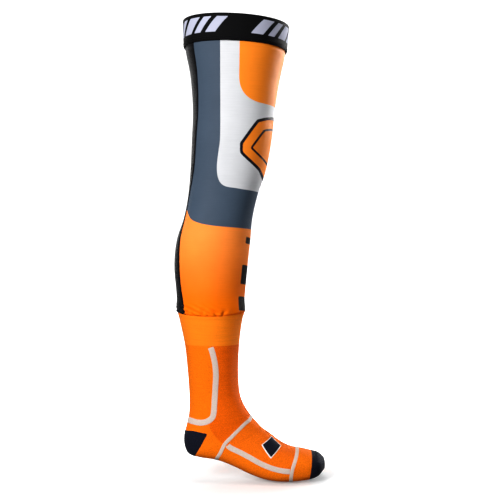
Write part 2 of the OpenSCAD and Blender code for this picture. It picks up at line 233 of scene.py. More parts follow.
class Cloth:
    """A material made of nodes around one Principled shader."""

    def __init__(self, name, roughness=0.75, sheen=0.05, specular=0.25, glint=(0.5, 0.5, 0.5)):
        self.material = bpy.data.materials.new(name)
        self.material.use_nodes = True
        self.tree = self.material.node_tree
        self.tree.nodes.clear()
        self.shader = self.new("ShaderNodeBsdfPrincipled")
        out = self.new("ShaderNodeOutputMaterial")
        self.tree.links.new(self.shader.outputs[0], out.inputs[0])
        values = {"Roughness": roughness, "Sheen Weight": sheen, "Sheen Roughness": 0.45,
                  "Specular IOR Level": specular, "Specular Tint": (*glint, 1)}
        for socket, value in values.items():
            self.shader.inputs[socket].default_value = value

    def new(self, kind, **settings):
        node = self.tree.nodes.new(kind)
        for key, value in settings.items():
            setattr(node, key, value)
        return node

    def put(self, value, socket):
        if isinstance(value, bpy.types.NodeSocket):
            self.tree.links.new(value, socket)
        else:
            socket.default_value = value

    def math(self, operation, a, b=0.0):
        node = self.new("ShaderNodeMath", operation=operation)
        for value, socket in zip((a, b), node.inputs, strict=False):
            self.put(value, socket)
        return node.outputs[0]

    def field(self, name):
        """A number stored on the mesh."""
        return self.new("ShaderNodeAttribute", attribute_name=name).outputs["Fac"]

    def place(self):
        """Where the fabric was at rest, so that patterns stay on it as it bends."""
        return self.new("ShaderNodeAttribute", attribute_name="place").outputs["Vector"]

    def split(self, vector):
        node = self.new("ShaderNodeSeparateXYZ")
        self.put(vector, node.inputs[0])
        return node.outputs

    def height(self):
        """Metres above the origin, at rest."""
        return self.split(self.place())[2]

    def cloth(self):
        """Metres round and down the fabric."""
        return self.split(self.new("ShaderNodeUVMap", uv_map="cloth").outputs[0])[:2]

    def ramp(self, value, low, high, to_low=0.0, to_high=1.0, kind="SMOOTHSTEP"):
        node = self.new("ShaderNodeMapRange", interpolation_type=kind, clamp=True)
        for v, socket in zip((value, low, high, to_low, to_high), node.inputs, strict=False):
            self.put(v, socket)
        return node.outputs[0]

    def mask(self, name, edge=0.0, soft=0.35 * MM):
        """1 where the stored distance is over edge."""
        return self.ramp(self.field(name), edge - soft, edge + soft)

    def mix(self, share, a, b, blend="MIX"):
        node = self.new("ShaderNodeMix", data_type="RGBA", blend_type=blend)
        self.put(share, node.inputs[0])
        self.put(a, node.inputs[6])
        self.put(b, node.inputs[7])
        return node.outputs[2]

    def noise(self, scale, detail=2.0, vector=None):
        """Noise from 0 to 1 whose grains are 1 / scale metres."""
        node = self.new("ShaderNodeTexNoise")
        self.put(self.place() if vector is None else vector, node.inputs["Vector"])
        node.inputs["Scale"].default_value = scale
        node.inputs["Detail"].default_value = detail
        return node.outputs[0]

    def streaks(self, across, along):
        """Noise whose grains are long round the leg and short down it."""
        u, v = self.cloth()
        join = self.new("ShaderNodeCombineXYZ")
        self.put(self.math("DIVIDE", u, across), join.inputs[0])
        self.put(self.math("DIVIDE", v, along), join.inputs[1])
        return self.noise(1, 2, join.outputs[0])

    def knit(self, wale, course):
        """Height of plain knitting: a column of V-shaped stitches in every wale."""
        u, v = self.cloth()
        x = self.math("SUBTRACT", self.math("FRACT", self.math("DIVIDE", u, wale)), 0.5)
        lean = self.math("ABSOLUTE", x)
        y = self.math("ADD", self.math("DIVIDE", v, course), self.math("MULTIPLY", lean, 1.5))
        loop = self.math("ABSOLUTE", self.math("SINE", self.math("MULTIPLY", y, math.pi)))
        groove = self.ramp(lean, 0.34, 0.5, 1.0, 0.25)
        valley = self.ramp(lean, 0.0, 0.1, 0.6, 1.0)
        return self.math("MULTIPLY", self.math("MULTIPLY", loop, groove), valley)

    def rib(self, pitch, down=True, duty=0.5):
        """Rounded ribs: across the leg, or down it if down is false."""
        u, v = self.cloth()
        wave = self.math("SINE", self.math("MULTIPLY", v if down else u, 2 * math.pi / pitch))
        return self.math("ADD", self.math("MULTIPLY", wave, duty), 0.5)

    def colour(self, value):
        self.put(value, self.shader.inputs["Base Color"])

    def rough(self, value, low, high):
        self.put(self.ramp(value, 0.0, 1.0, low, high, "LINEAR"), self.shader.inputs["Roughness"])

    def bump(self, *heights):
        """Bumps of (height from 0 to 1, depth in metres, strength)."""
        normal = None
        for height, depth, strength in heights:
            node = self.new("ShaderNodeBump")
            node.inputs["Strength"].default_value = strength
            node.inputs["Distance"].default_value = depth
            self.put(height, node.inputs["Height"])
            if normal is not None:
                self.put(normal, node.inputs["Normal"])
            normal = node.outputs[0]
        self.put(normal, self.shader.inputs["Normal"])


def shaded(cloth, colour, value, low, high):
    """The colour with its brightness running from low to high as value goes from 0 to 1."""
    tone = cloth.ramp(value, 0.25, 0.75, low, high, "LINEAR")
    join = cloth.new("ShaderNodeCombineColor")
    for socket in join.inputs:
        cloth.put(tone, socket)
    return cloth.mix(1.0, colour, join.outputs[0], "MULTIPLY")


def make_elastic():
    m = Cloth("elastic", roughness=0.8)
    weave, fuzz = m.rib(1.6 * MM), m.noise(900, 2)
    cross = m.rib(1.1 * MM, down=False)
    ground = shaded(m, linear(21, 21, 22), fuzz, 0.75, 1.3)
    figure = shaded(m, linear(186, 188, 206), weave, 0.86, 1.04)
    inside = m.mask("inside", 0.5, 0.1)
    colour = m.mix(m.mask("figure"), ground, figure)
    m.colour(m.mix(inside, colour, shaded(m, linear(30, 30, 32), fuzz, 0.8, 1.2)))
    m.rough(fuzz, 0.7, 0.9)
    m.bump((weave, 0.25 * MM, 0.6), (cross, 0.12 * MM, 0.5), (fuzz, 0.1 * MM, 0.4))
    return m.material


def make_print():
    m = Cloth("print_front", roughness=0.55, sheen=0.0, specular=0.22, glint=(0.42, 0.3, 0.2))
    colour = m.mix(m.mask("white_block"), SLATE, WHITE_PRINT)
    colour = m.mix(m.mask("orange_top"), colour, ORANGE_PRINT)
    fade = m.ramp(m.height(), -0.5, -0.375, kind="LINEAR")
    colour = m.mix(m.mask("orange_low"), colour, m.mix(fade, ORANGE_FADE_FOOT, ORANGE_FADE_TOP))
    colour = m.mix(m.mask("emblem"), colour, INK)
    colour = m.mix(m.mask("emblem", 5 * MM), colour, ORANGE_PRINT)
    colour = m.mix(m.mask("emblem", 19 * MM), colour, INK)
    colour = m.mix(m.mask("emblem", 22.5 * MM), colour, ORANGE_PRINT)
    colour = m.mix(m.mask("bars"), colour, BLACK)
    streak, soft = m.streaks(30 * MM, 1.7 * MM), m.noise(26, 3)
    colour = shaded(m, colour, streak, 0.97, 1.03)
    colour = shaded(m, colour, soft, 0.96, 1.04)
    reverse = shaded(m, linear(205, 203, 200), streak, 0.9, 1.05)
    m.colour(m.mix(m.mask("inside", 0.5, 0.1), colour, reverse))
    m.rough(streak, 0.55, 0.62)
    m.bump((m.knit(*JERSEY_STITCH), 0.12 * MM, 0.35), (streak, 0.06 * MM, 0.2))
    return m.material


def make_back():
    m = Cloth("back_stretch", roughness=0.6, specular=0.35)
    streak, mesh = m.streaks(30 * MM, 2 * MM), m.knit(*JERSEY_STITCH)
    colour = shaded(m, BLACK, streak, 0.8, 1.35)
    # painted shade in the knit's grooves and painted light on its stitches' tops
    m.colour(shaded(m, colour, mesh, 0.85, 1.15))
    m.rough(streak, 0.5, 0.7)
    m.bump((mesh, 0.15 * MM, 0.5), (streak, 0.15 * MM, 0.3))
    return m.material


def make_thread(name, colour):
    m = Cloth(name, roughness=0.6)
    fibre = m.noise(2500, 1)
    m.colour(shaded(m, colour, fibre, 0.75, 1.3))
    m.rough(fibre, 0.5, 0.75)
    m.bump((fibre, 0.08 * MM, 0.5))
    return m.material


def make_silicone():
    m = Cloth("silicone", roughness=0.3, sheen=0.0, specular=0.5)
    cloud = m.noise(160, 3)
    m.colour(shaded(m, linear(178, 184, 190), cloud, 0.88, 1.08))
    m.rough(cloud, 0.22, 0.42)
    m.bump((cloud, 0.3 * MM, 0.25))
    return m.material


def make_label():
    m = Cloth("label", roughness=0.45)
    weave = m.rib(0.7 * MM)
    # painted shade in the weave's grooves
    ground = shaded(m, linear(236, 236, 236), weave, 0.93, 1.02)
    m.colour(m.mix(m.mask("border"), ground, linear(40, 42, 48)))
    m.rough(weave, 0.35, 0.55)
    m.bump((weave, 0.08 * MM, 0.5))
    return m.material


def make_cuff():
    m = Cloth("cuff_knit", roughness=0.78, sheen=0.03, glint=(0.6, 0.3, 0.12))
    rib, knit = m.rib(2.6 * MM, down=False), m.knit(1.5 * MM, 1.2 * MM)
    streak = m.streaks(40 * MM, 2.6 * MM)
    colour = shaded(m, CUFF, streak, 0.92, 1.05)
    colour = shaded(m, colour, m.noise(700, 2), 0.93, 1.06)
    reverse = shaded(m, linear(236, 112, 24), streak, 0.9, 1.05)
    m.colour(m.mix(m.mask("inside", 0.5, 0.1), colour, reverse))
    m.rough(streak, 0.7, 0.86)
    m.bump((rib, 0.2 * MM, 0.35), (knit, 0.2 * MM, 0.5), (streak, 0.2 * MM, 0.3))
    return m.material


def make_knit():
    m = Cloth("orange_knit", roughness=0.82, sheen=0.03, glint=(0.6, 0.25, 0.08))
    fuzz, streak = m.noise(620, 3), m.streaks(30 * MM, 2.4 * MM)
    knit = m.knit(*KNIT_STITCH)
    zone = m.mask("vent_zone", soft=0.9 * MM)
    instep = m.mask("instep_zone", soft=0.9 * MM)
    # the vented zone's darker colour: partly its own knit, partly painted shade
    colour = m.mix(zone, ORANGE_KNIT, VENT_KNIT_AND_SHADE)
    colour = m.mix(instep, colour, INSTEP)
    both = m.math("MAXIMUM", zone, m.math("MULTIPLY", instep, 0.6))
    u, v = m.cloth()
    # Open stitches in rows, where the knit is vented: bumps whose holes are darkened with painted shade
    rows = m.math("SINE", m.math("MULTIPLY", u, math.pi / KNIT_STITCH[0]))
    columns = m.math("SINE", m.math("MULTIPLY", v, math.pi / KNIT_STITCH[1]))
    holes = m.math("MULTIPLY", m.ramp(m.math("MULTIPLY", rows, columns), 0.2, 0.8), both)
    # painted shade in the open stitches' holes
    colour = m.mix(m.math("MULTIPLY", holes, 0.3), colour, linear(180, 62, 8))
    colour = shaded(m, colour, streak, 0.94, 1.05)
    colour = shaded(m, colour, fuzz, 0.78, 1.16)
    reverse = shaded(m, linear(240, 118, 30), fuzz, 0.85, 1.1)
    m.colour(m.mix(m.mask("inside", 0.5, 0.1), colour, reverse))
    m.rough(fuzz, 0.74, 0.9)
    m.bump((knit, 0.3 * MM, 0.5), (holes, 0.25 * MM, 0.6), (fuzz, 0.25 * MM, 0.35))
    return m.material


def make_plain_knit(name, colour, low, high):
    m = Cloth(name, roughness=0.82)
    fuzz, knit = m.noise(620, 3), m.knit(*KNIT_STITCH)
    tinted = shaded(m, colour, fuzz, low, high)
    # painted shade in the knit's grooves and painted light on its stitches' tops
    m.colour(shaded(m, tinted, knit, 0.92, 1.04))
    m.rough(fuzz, 0.74, 0.9)
    m.bump((knit, 0.3 * MM, 0.6), (fuzz, 0.2 * MM, 0.35))
    return m.material


def make_badge():
    m = Cloth("badge", roughness=0.7)
    fuzz, twill = m.noise(700, 2), m.rib(1.0 * MM)
    edge, core = shaded(m, linear(226, 224, 222), fuzz, 0.9, 1.05), shaded(m, NAVY, fuzz, 0.8, 1.3)
    m.colour(m.mix(m.mask("core"), edge, core))
    m.rough(twill, 0.6, 0.8)
    m.bump((twill, 0.15 * MM, 0.5), (fuzz, 0.1 * MM, 0.3))
    return m.material


def make_terry():
    m = Cloth("terry", roughness=0.95, sheen=0.5)
    loops = m.noise(420, 3)
    m.colour(shaded(m, linear(238, 116, 34), loops, 0.7, 1.15))
    m.rough(loops, 0.85, 1.0)
    m.bump((loops, 0.8 * MM, 0.8))
    return m.material


MATERIALS = {
    "elastic": make_elastic(),
    "print_front": make_print(),
    "back_stretch": make_back(),
    "thread": make_thread("thread", linear(22, 22, 26)),
    "orange_thread": make_thread("orange_thread", linear(240, 112, 22)),
    "silicone": make_silicone(),
    "label": make_label(),
    "cuff_knit": make_cuff(),
    "orange_knit": make_knit(),
    "stripe_knit": make_plain_knit("stripe_knit", STRIPE, 0.86, 1.08),
    "navy_knit": make_plain_knit("navy_knit", NAVY, 0.7, 1.5),
    "badge": make_badge(),
    "terry": make_terry(),
}


# ---------------- building meshes
def add_piece(name, points, faces, corner_uv, fields, material):
    """A piece from its points, faces, cloth coordinates at each face corner, and numbers at each point."""
    mesh = bpy.data.meshes.new(name)
    mesh.from_pydata(points.tolist(), [], [list(map(int, f)) for f in faces])
    uv = mesh.uv_layers.new(name="cloth")
    uv.data.foreach_set("uv", np.asarray(corner_uv, np.float32).ravel())
    fields = {"inside": np.zeros(len(points)), **fields}
    for key, values in fields.items():
        attribute = mesh.attributes.new(key, "FLOAT", "POINT")
        attribute.data.foreach_set("value", np.asarray(values, np.float32).ravel())
    place = mesh.attributes.new("place", "FLOAT_VECTOR", "POINT")
    place.data.foreach_set("vector", points.astype(np.float32).ravel())
    mesh.polygons.foreach_set("use_smooth", [True] * len(mesh.polygons))
    mesh.set_sharp_from_angle(angle=math.radians(55))
    mesh.materials.append(MATERIALS[material])
    mesh.validate()
    obj = bpy.data.objects.new(name, mesh)
    bpy.context.scene.collection.objects.link(obj)
    return obj


def grid_faces(rows, cols, wrap_rows, wrap_cols):
    """Quads of a grid, with each corner's column counted on past a wrap."""
    i = np.arange(rows if wrap_rows else rows - 1)[:, None]
    j = np.arange(cols if wrap_cols else cols - 1)[None]
    i, j = (x.ravel() for x in np.broadcast_arrays(i, j))
    r = np.stack([i, i, i + 1, i + 1], 1)
    c = np.stack([j, j + 1, j + 1, j], 1)
    return r, c


def wall(name, t, phi, d, material, e=0.0, wrap=True, fields=None, per_degree=1.2 * MM):
    """A wall of fabric. Its rows run down the outside and back up the inside, and its columns go round.
    Fields are functions of the rows' stations and angles and of their points."""
    t, phi, d, e = np.broadcast_arrays(*(np.asarray(x, float) for x in (t, phi, d, e)))
    rows, cols = t.shape
    grid = surface(t, phi, d, e)
    points = grid.reshape(-1, 3)
    r, c = grid_faces(rows, cols, True, wrap)
    index = (r % rows) * cols + c % cols
    turn = np.where(c == cols, 360.0, 0.0)
    round_leg, down_leg = phi.ravel(), (down_at(t) + e).ravel()
    uv = np.stack([(round_leg[index] + turn) * per_degree, down_leg[index]], -1).reshape(-1, 2)
    faces = index.tolist()
    if not wrap:
        # The two side edges are closed by a strip of quads each
        corners = []
        for i in range(rows // 2 - 1):
            for j, order in ((0, (0, 1, 2, 3)), (cols - 1, (3, 2, 1, 0))):
                ring = [i, i + 1, rows - 2 - i, rows - 1 - i]
                face = [ring[k] * cols + j for k in order]
                faces.append(face)
                corners += [(round_leg[k] * per_degree, down_leg[k]) for k in face]
        uv = np.concatenate([uv, np.array(corners)])
    values = {key: np.broadcast_to(f(t, phi, grid), t.shape) for key, f in (fields or {}).items()}
    values.setdefault("inside", np.broadcast_to((np.arange(rows) >= rows // 2)[:, None], t.shape))
    return add_piece(name, points, faces, uv, values, material)


def loop(ts, outer, inner, rim_top=0, rim_foot=0):
    """Rows of a wall between the stations ts: stations, offsets and shifts along the leg.
    A rim is a number of rows that round an edge over."""
    ts = np.asarray(ts, float)
    outer, inner = (np.broadcast_to(np.asarray(x, float), ts.shape) for x in (outer, inner))

    def rim(k, n, sign):
        a = np.linspace(0, np.pi, n + 2)[1:-1]
        middle, half = (outer[k] + inner[k]) / 2, (outer[k] - inner[k]) / 2
        return np.stack([np.full(n, ts[k]), middle + half * np.cos(a), sign * half * np.sin(a)])

    face, reverse = (np.stack([ts, d, 0 * ts]) for d in (outer, inner))
    rows = [face, rim(-1, rim_foot, 1), reverse[:, ::-1], rim(0, rim_top, -1)[:, ::-1]]
    return np.concatenate(rows, 1)[:, :, None]


def all_round(step):
    """Angles once round the leg, as the columns of a wall."""
    return np.arange(-180, 180, step)[None]


AROUND = all_round(2.0)


def tube(name, ts, outer, inner, material, rims=(0, 0), cols=AROUND, lift=None, fields=None,
         per_degree=1.2 * MM):
    """A closed tube of fabric."""
    t, d, e = loop(ts, outer, inner, *rims)
    if lift is not None:
        d = d + lift(t, cols)
    return wall(name, sewn(t, cols), cols, d, material, e, fields=fields, per_degree=per_degree)


def back_half(t):
    return smooth(np.array(BACK_HALF, float), t)


def along(route, step):
    """The route's smooth curve with points about step metres apart."""
    fine = smooth(np.asarray(route, float), np.linspace(0, len(route) - 1, 40 * len(route)))
    line = skin(fine[:, 0], fine[:, 1])
    length = np.concatenate([[0], np.cumsum(np.linalg.norm(np.diff(line, axis=0), axis=1))])
    at = np.linspace(0, length[-1], max(3, math.ceil(length[-1] / step) + 1))
    return np.stack([np.interp(at, length, fine[:, k]) for k in (0, 1)], 1), at


def beside(path, sideways):
    """Stations and angles of points at distances sideways across a path, as a grid along it."""
    t, phi = path[:, 0], path[:, 1]
    ahead = unit(np.gradient(skin(t, phi), axis=0))
    _, _, out = frame_at(t, phi)
    side = np.cross(out, ahead)
    dt = (skin(t + 0.02, phi) - skin(t - 0.02, phi)) / 0.04
    dphi = (skin(t, phi + 0.5) - skin(t, phi - 0.5)) / 1.0
    aa, ab, bb = (dt * dt).sum(1), (dt * dphi).sum(1), (dphi * dphi).sum(1)
    pa, pb = (side * dt).sum(1), (side * dphi).sum(1)
    det = aa * bb - ab * ab
    st, sp = (pa * bb - pb * ab) / det, (pb * aa - pa * ab) / det
    w = np.asarray(sideways, float)
    w = w[None] if w.ndim == 1 else w
    return t[:, None] + st[:, None] * w, phi[:, None] + sp[:, None] * w


def strip(name, route, width, material, raised=0.35 * MM, step=2 * MM, lift=None):
    """A flat strip laid on the surface along a route, with its edges and ends sunk into it."""
    path, at = along(route, step)
    half = width / 2
    across = np.array([-1, -0.93, -0.8, -0.4, 0, 0.4, 0.8, 0.93, 1]) * half
    height = np.array([-0.5 * MM, 0.15 * MM, *[raised] * 5, 0.15 * MM, -0.5 * MM])
    t, phi = beside(path, across)
    rows, n = t.shape
    d = np.broadcast_to(height, t.shape).copy()
    d[[0, -1]] = -0.5 * MM
    if lift is not None:
        d = d + lift(t, phi)
    top = surface(t, phi, d)
    base = -0.9 * MM + (lift(t, phi) if lift is not None else 0)
    under = surface(t, phi, base)
    # A closed ring of points round the strip at every row
    points = np.concatenate([top, under[:, ::-1]], 1)
    m = 2 * n
    r, c = grid_faces(rows, m, False, True)
    faces = (r * m + c % m)[:, ::-1].tolist()
    u = np.concatenate([across, across[::-1]])
    uv = np.stack([u[(c % m)], at[r]], -1)[:, ::-1].reshape(-1, 2)
    caps = [list(range(m)), [(rows - 1) * m + k for k in range(m)][::-1]]
    cap_uv = np.array([(u[k % m], 0.0) for cap in caps for k in cap])
    return add_piece(name, points.reshape(-1, 3), faces + caps, np.concatenate([uv, cap_uv]), {}, material)


def thread(lines, radius, sides=6, closed=False):
    """Tubes along lines of points in space, as points, faces and cloth coordinates."""
    points, faces, uv, base = [], [], [], 0
    for line in lines:
        n = len(line)
        ahead = np.roll(line, -1, 0) - np.roll(line, 1, 0) if closed else np.gradient(line, axis=0)
        ahead = unit(ahead)
        spare = np.where(np.abs(ahead[:, 2:]) < 0.9, np.array([[0, 0, 1.0]]), np.array([[1.0, 0, 0]]))
        a = unit(np.cross(ahead, spare))
        b = np.cross(ahead, a)
        angle = np.linspace(0, 2 * np.pi, sides, endpoint=False)[None, :, None]
        ring = line[:, None] + radius * (a[:, None] * np.cos(angle) + b[:, None] * np.sin(angle))
        r, c = grid_faces(n, sides, closed, True)
        faces += (base + (r % n) * sides + c % sides).tolist()
        uv.append(np.stack([c * radius, r * radius], -1).reshape(-1, 2))
        if not closed:
            first, last = range(base, base + sides), range(base + (n - 1) * sides, base + n * sides)
            for cap in (first[::-1], last):
                faces.append(list(cap))
                uv.append(np.zeros((sides, 2)))
        points.append(ring.reshape(-1, 3))
        base += n * sides
    return np.concatenate(points), faces, np.concatenate(uv)


def finish_piece(obj, nodes, body=None, across=None):
    """Hides the CAD nodes the piece stands for, and attaches the piece to the body it moves with, or bakes
    its placement into its mesh when it lies across a joint.
    """
    if across is None:
        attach(obj, body)
    else:
        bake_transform(obj)
    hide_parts(*nodes)


def sew(name, parts, slot, nodes, body=None, across=None):
    """Several threads as one finished piece."""
    points, faces, uv, base = [], [], [], 0
    for p, f, c in parts:
        points.append(p)
        faces += [[base + k for k in face] for face in f]
        uv.append(c)
        base += len(p)
    piece = add_piece(name, np.concatenate(points), faces, np.concatenate(uv), {}, slot)
    finish_piece(piece, nodes, body, across)


# Two bodies and the points between which the fabric turns from one to the other
KNEE = ("thigh", "shank", (-0.025, 0, -0.205), (-0.030, 0, -0.415))
ANKLE = ("shank", "foot", (-0.038, 0, -0.662), (-0.030, 0, -0.722))
BALL = ("foot", "toes", (0.058, 0, -0.780), (0.112, 0, -0.791))


# ---------------- the print's shapes
def curve(points, steps=8):
    """A closed smooth outline through points, in metres."""
    table = np.array([*points[-2:], *points, *points[:3]], float) * MM
    return smooth(table, np.linspace(2, 2 + len(points), steps * len(points), endpoint=False))


def depth_in(outline, x, z):
    """Distance inside a closed outline, negative outside it."""
    shape = np.broadcast_shapes(x.shape, z.shape)
    p = np.stack([np.broadcast_to(x, shape).ravel(), np.broadcast_to(z, shape).ravel()], 1)
    a, b = outline, np.roll(outline, -1, 0)
    best, inside = np.full(len(p), np.inf), np.zeros(len(p), bool)
    for s, e in zip(a, b, strict=True):
        g = e - s
        k = np.clip(((p - s) @ g) / (g @ g), 0, 1)
        best = np.minimum(best, np.hypot(*(p - s - k[:, None] * g).T))
        crosses = (s[1] > p[:, 1]) != (e[1] > p[:, 1])
        with np.errstate(divide="ignore", invalid="ignore"):
            at = s[0] + (p[:, 1] - s[1]) / (e[1] - s[1]) * g[0]
        inside ^= crosses & (p[:, 0] < at)
    return np.where(inside, best, -best).reshape(shape)


def side_depth(outline):
    """A field: the distance inside an outline in the side view."""
    return lambda t, phi, grid: depth_in(outline, grid[..., 0], grid[..., 2])


# In the side view, x forward and z up, in millimetres; the inner side mirrors the outer
PRINT, ZONES = {}, {}
PRINT["white_block"] = curve([
    (-26, 60), (-26, 0), (-26, -60), (-26, -113), (-26, -170), (-26.5, -212), (-29, -232), (-32, -256),
    (-31.5, -274), (-27, -287), (-17, -294.5), (2, -297.5), (21, -300), (60, -303), (160, -306),
    (240, -200), (240, 0), (120, 90)])
PRINT["orange_top"] = curve([
    (7.5, 60), (7.5, 0), (7.5, -43), (7, -80), (7, -113), (11.5, -129), (21, -140.5), (35, -147.5),
    (51, -150), (70, -151), (150, -155), (240, -120), (240, 0), (120, 90)])
PRINT["orange_low"] = curve([
    (-150, -250), (-100, -300), (-89, -328), (-80.5, -348), (-69, -356), (-50, -361), (-25, -364),
    (3, -366), (27, -368), (60, -370), (200, -380), (240, -560), (0, -700), (-240, -560), (-240, -300)])
# A plain faceted shield wrapped across the front of the thigh
PRINT["emblem"] = curve([
    (74, -168), (42, -177), (35, -182), (12, -214), (8, -220), (8, -226), (8, -234), (12, -241), (36, -262),
    (41, -268), (50, -286), (56, -292), (120, -294), (160, -228), (120, -168)])
# The vented front of the knitted leg, whose darker colour is partly painted shade, and the instep's denser
# knit
ZONES["vent_zone"] = curve([
    (-44, -560), (-44, -574), (-37.5, -595), (-35, -620), (-37, -655), (-38, -690), (-42, -703), (-46, -716),
    (-34, -736), (-18, -745.5), (4, -724), (27, -706), (60, -680), (90, -640), (90, -560), (20, -540)])
ZONES["instep_zone"] = curve([
    (27, -706), (4, -724), (-16, -745.5), (0, -757), (14, -765), (44, -780), (73, -790), (100, -794),
    (104, -778), (109, -760), (120, -720), (80, -690)])


def front_angle(phi):
    """Degrees from the front's middle line, signed."""
    return (phi + 180) % 360 - 180


def bars(t, phi, grid):
    """Three plain slanted bars down the shin."""
    a, z = front_angle(phi), grid[..., 2]
    best = np.full(z.shape, -1.0)
    for top, foot, half in ((-384, -396, 27), (-434, -468, 30), (-490, -515, 33)):
        middle, high = (top + foot) / 2 * MM, (top - foot) / 2 * MM
        lean = a * 0.10 * MM
        best = np.maximum(best, np.minimum(high - np.abs(z - middle - lean), (half - np.abs(a)) * 0.75 * MM))
    return best


def band_figures(t, phi, grid):
    """Groups of slanted bars woven into the band."""
    height = 0.46 - t
    a = phi + height * 26
    best = np.full(np.broadcast_shapes(t.shape, phi.shape), -1.0)
    for group in (-136, -16, 104, 224):
        for start, wide in ((0, 12), (18, 9), (32, 15), (53, 9), (68, 14)):
            away = np.abs((a - group - start - wide / 2 + 180) % 360 - 180)
            inside = np.minimum((wide / 2 - away) * 1.5 * MM, (0.27 - np.abs(height)) * 46 * MM)
            best = np.maximum(best, inside)
    return best


# ---------------- the thigh band
BAND_FACE = CLEAR + BAND_WALL
BAND_DEGREE = 1.5 * MM
STITCH_DEGREES = 2.0


def make_band():
    band = tube("elastic_band", np.linspace(0.03, 0.985, 30), BAND_FACE, CLEAR, "elastic", rims=(5, 5),
                cols=all_round(1.0), fields={"figure": band_figures}, per_degree=BAND_DEGREE)
    finish_piece(band, ["thigh_band"], "thigh")
    return band


def make_grip(number):
    """A wavy, crowned line of silicone inside the band."""
    top, rows = 0.12 + 0.24 * (number - 1), 7
    angles = all_round(1.5)
    t, d, _ = loop(np.linspace(top, top + 0.1, rows), -CLEAR, -CLEAR - 0.1 * MM)
    crown = np.concatenate([np.zeros(rows), np.sin(np.linspace(0, np.pi, rows))[::-1]])[:, None] * 0.6 * MM
    wave = 0.012 * np.sin(np.radians(angles * 30)) * np.ones_like(t)
    grip = wall(f"silicone_line_{number}", t + wave, angles, d - crown, "silicone", per_degree=BAND_DEGREE)
    finish_piece(grip, [f"grip_strip_{number}"], "thigh")


def make_cover_stitch():
    """Two lines round the band's foot, whose thread dips under the fabric at every stitch."""
    phi = np.arange(-180, 180, 0.25)
    wave = np.cos(2 * np.pi * phi / STITCH_DEGREES)
    d = BAND_FACE + 0.12 * MM + 0.28 * MM * np.sign(wave) * np.abs(wave) ** 0.5
    lines = [surface(np.full(len(phi), level), phi, d) for level in (0.885, 0.945)]
    sew("band_cover_stitch", [thread(lines, 0.3 * MM, closed=True)], "thread", ["band_stitching"], "thigh")


def zigzag(route, width, pitch, d, step=0.5 * MM, lift=None):
    """A zigzag thread along a route on the surface."""
    path, at = along(route, step)
    tri = 2 * np.abs((at / pitch) % 1 * 2 - 1) - 1
    t, phi = beside(path, (tri * width / 2)[:, None])
    d = d + (0.12 * MM * (1 - tri**2))[:, None] + (lift(t, phi) if lift is not None else 0)
    return surface(t, phi, d)[:, 0]


def make_band_join():
    """A zigzag between two straight lines of thread, where the band's ends meet at the back."""
    route = [[t, 188] for t in (0.05, 0.3, 0.6, 0.84)]
    path, _ = along(route, 1.5 * MM)
    parts = [thread([zigzag(route, 8 * MM, 2.4 * MM, BAND_FACE + 0.2 * MM)], 0.3 * MM)]
    for offset in (-3.8, 3.8):
        t, phi = beside(path, np.array([offset * MM]))
        parts.append(thread([surface(t, phi, BAND_FACE + 0.15 * MM)[:, 0]], 0.25 * MM))
    sew("band_zigzag", parts, "thread", ["band_join"], "thigh")


# ---------------- the sleeve
def panel_rows():
    """Stations and offsets of a sleeve panel's face: tucked under the band, turned in at the hem."""
    down = np.concatenate([stations(0.83, 10.3, 3.2 * MM)[:-1], stations(10.3, SEWN, 1.3 * MM)])
    tucked = -0.8 * MM * (1 - rise(down, 0.98, 1.1))
    hem = [10.995, 11.02, 11.05, 11.09, 11.16, 11.3, HEM_END]
    turned = np.array([-0.35, -0.9, -1.7, -2.45, -2.6, -2.6, -2.6]) * MM
    return np.concatenate([down, hem]), np.concatenate([tucked, turned])


def make_panel(name, left, right, cols, slot, fields, nodes):
    """A sleeve panel between two angles that change down the leg, in one piece through the knee."""
    ts, outer = panel_rows()
    share = np.linspace(0, 1, cols)[None]
    t = np.concatenate([ts, ts[::-1]])[:, None]
    phi = left(t) + (right(t) - left(t)) * share
    lifted = relief(t, phi)
    d = np.concatenate([outer, outer[::-1] - SLEEVE_WALL])[:, None] + lifted
    # The gathers end where the fabric turns in, and inside the cuff it lies flat
    d = d - lifted * rise(t, SEWN, 11.08)
    piece = wall(name, sewn(t, phi), phi, d, slot, wrap=False, fields=fields)
    finish_piece(piece, nodes, across=KNEE)
    return piece


def thigh_to_calf(kind):
    return [f"{part}_{kind}" for part in ("thigh", "knee", "calf")]


def make_seam(word, side):
    """A flat seam: a base strip, a zigzag over it and a line of stitches along each of its edges."""
    ts = np.linspace(1.06, SEWN, 26)
    edge = np.stack([sewn(ts, 180 - back_half(ts)), side * (180 - back_half(ts))], 1)
    # The seam lies on the black panel's side of the edge
    route = edge + np.stack([np.zeros(len(ts)), np.full(len(ts), side * 1.2)], 1)
    base = strip(f"{word}_seam_base", route, 4.4 * MM, "thread", raised=0.25 * MM, step=2.5 * MM,
                 lift=relief)
    cover = [thread([zigzag(route, 4.2 * MM, 2.8 * MM, 0.4 * MM, lift=relief)], 0.22 * MM, 5)]
    path, _ = along(route, 1.2 * MM)
    for offset in (-1.9, 1.9):
        t, phi = beside(path, np.array([offset * MM]))
        d = 0.35 * MM + 0.12 * MM * np.sin(np.arange(len(path)) * 1.2)[:, None] + relief(t, phi)
        cover.append(thread([surface(t, phi, d)[:, 0]], 0.2 * MM, 5))
    finish_piece(base, thigh_to_calf(f"{word}_seam"), across=KNEE)
    sew(f"{word}_seam_threads", cover, "thread", [], across=KNEE)


def make_hem_overlock():
    ring = [[11.49, a] for a in range(-180, 181, 12)]
    d = -KNIT_WALL - 2 * CLEAR - SLEEVE_WALL - 0.3 * MM
    line = zigzag(ring, 4.5 * MM, 2.6 * MM, d)[:-1]
    sew("hem_overlock", [thread([line], 0.3 * MM)], "orange_thread", ["hem_stitching"], "shank")


def label_border(t, phi, grid):
    return 1.1 * MM - np.minimum((8.5 - np.abs(phi - 180)) * 1.6 * MM, (0.245 - np.abs(t - 1.115)) * 50 * MM)


